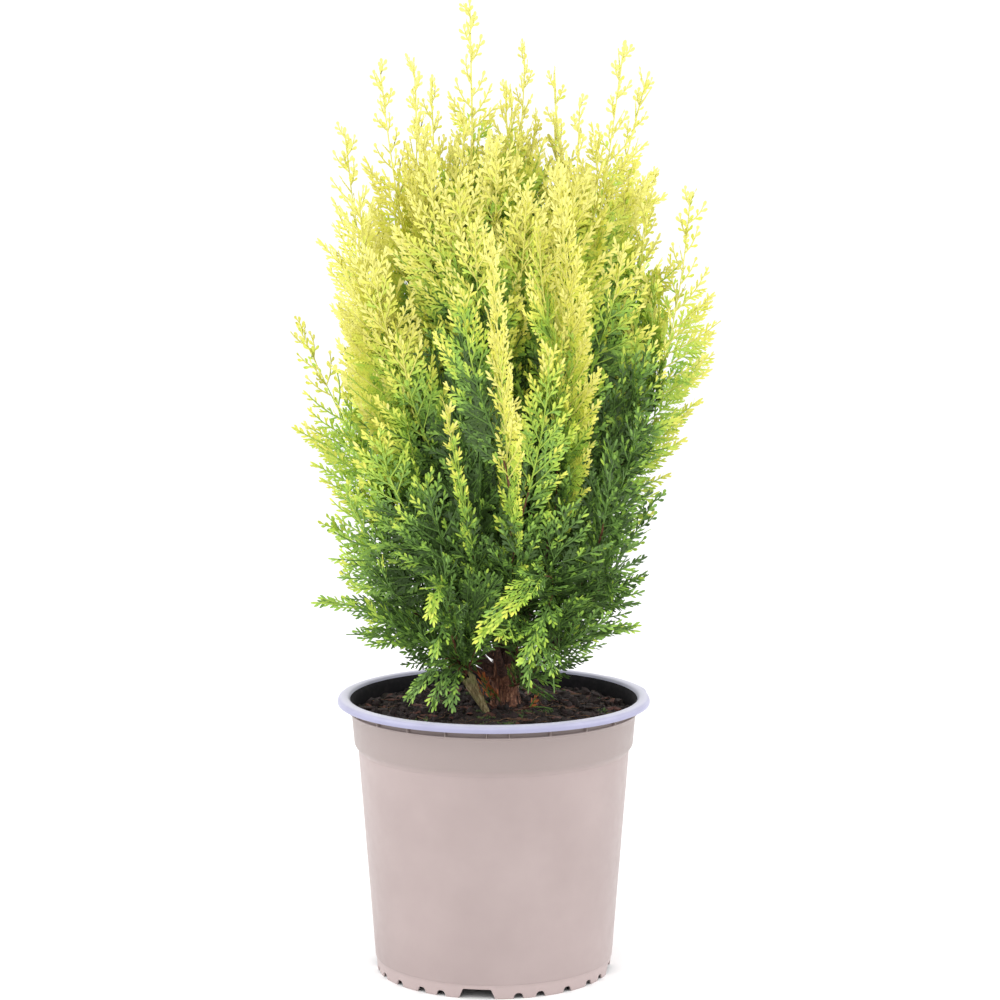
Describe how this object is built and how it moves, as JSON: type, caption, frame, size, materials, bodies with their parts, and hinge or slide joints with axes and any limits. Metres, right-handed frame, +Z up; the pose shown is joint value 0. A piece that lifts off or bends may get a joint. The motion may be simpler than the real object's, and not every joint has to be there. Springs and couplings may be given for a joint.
{
  "type": "lawson cypress in a pot",
  "caption": "Young upright conifer with flat fans of gold and green scale-leaved sprays, standing in a round thin-wall plastic nursery pot filled with soil.",
  "frame": {"origin": "under the middle of the whole plant's bounding box, on the surface that the pot stands on", "axes": "+Z up along the pot's axis, -Y the side that the picture shows, +X the right side there"},
  "size_m": [0.2304, 0.201, 0.5263],
  "materials": {
    "pot_plastic": "satin moulded taupe, black inside, paler rim",
    "potting_soil": "damp dark peat with bark chips",
    "bark": "fibrous red-brown bark",
    "foliage_gold": "golden yellow scale leaves, soft sheen",
    "foliage_fresh": "lime green scale leaves, soft sheen",
    "foliage_deep": "deep green scale leaves, soft sheen"
  },
  "bodies": {
    "root": {"basal_shoot": "bark", "bough_back": "bark", "bough_back_left": "bark", "bough_back_left_low": "bark", "bough_back_right": "bark", "bough_back_right_low": "bark", "bough_centre_green": "bark", "bough_front_gold": "bark", "bough_front_lime": "bark", "bough_left_back": "bark", "bough_left_front": "bark", "bough_left_low": "bark", "bough_left_low_back": "bark", "bough_left_outer": "bark", "bough_left_shoulder": "bark", "bough_right_front_gold": "bark", "bough_right_front_lime": "bark", "bough_right_low": "bark", "bough_right_outer": "bark", "bough_right_shoulder": "bark", "foliage_back": "foliage_gold", "foliage_back_crest": "foliage_gold", "foliage_back_left": "foliage_gold", "foliage_back_left_crest": "foliage_gold", "foliage_back_left_low": "foliage_deep", "foliage_back_right": "foliage_gold", "foliage_back_right_low": "foliage_deep", "foliage_centre_crest": "foliage_gold", "foliage_centre_green": "foliage_fresh", "foliage_front_clump": "foliage_deep", "foliage_front_crest": "foliage_gold", "foliage_front_gold": "foliage_gold", "foliage_front_lime": "foliage_fresh", "foliage_front_right_low": "foliage_deep", "foliage_leader": "foliage_gold", "foliage_left_back": "foliage_gold", "foliage_left_crest": "foliage_gold", "foliage_left_front": "foliage_gold", "foliage_left_front_crest": "foliage_gold", "foliage_left_low": "foliage_deep", "foliage_left_low_back": "foliage_deep", "foliage_left_low_front": "foliage_deep", "foliage_left_outer": "foliage_gold", "foliage_left_shoulder": "foliage_gold", "foliage_low_lime": "foliage_deep", "foliage_right_back_crest": "foliage_gold", "foliage_right_crest": "foliage_gold", "foliage_right_front_crest": "foliage_gold", "foliage_right_front_gold": "foliage_gold", "foliage_right_front_lime": "foliage_fresh", "foliage_right_inner": "foliage_fresh", "foliage_right_low": "foliage_deep", "foliage_right_low_back": "foliage_deep", "foliage_right_low_front": "foliage_deep", "foliage_right_outer": "foliage_gold", "foliage_right_shoulder": "foliage_gold", "pot": "pot_plastic", "potting_soil": "potting_soil", "trunk": "bark"}
  },
  "joints": []
}
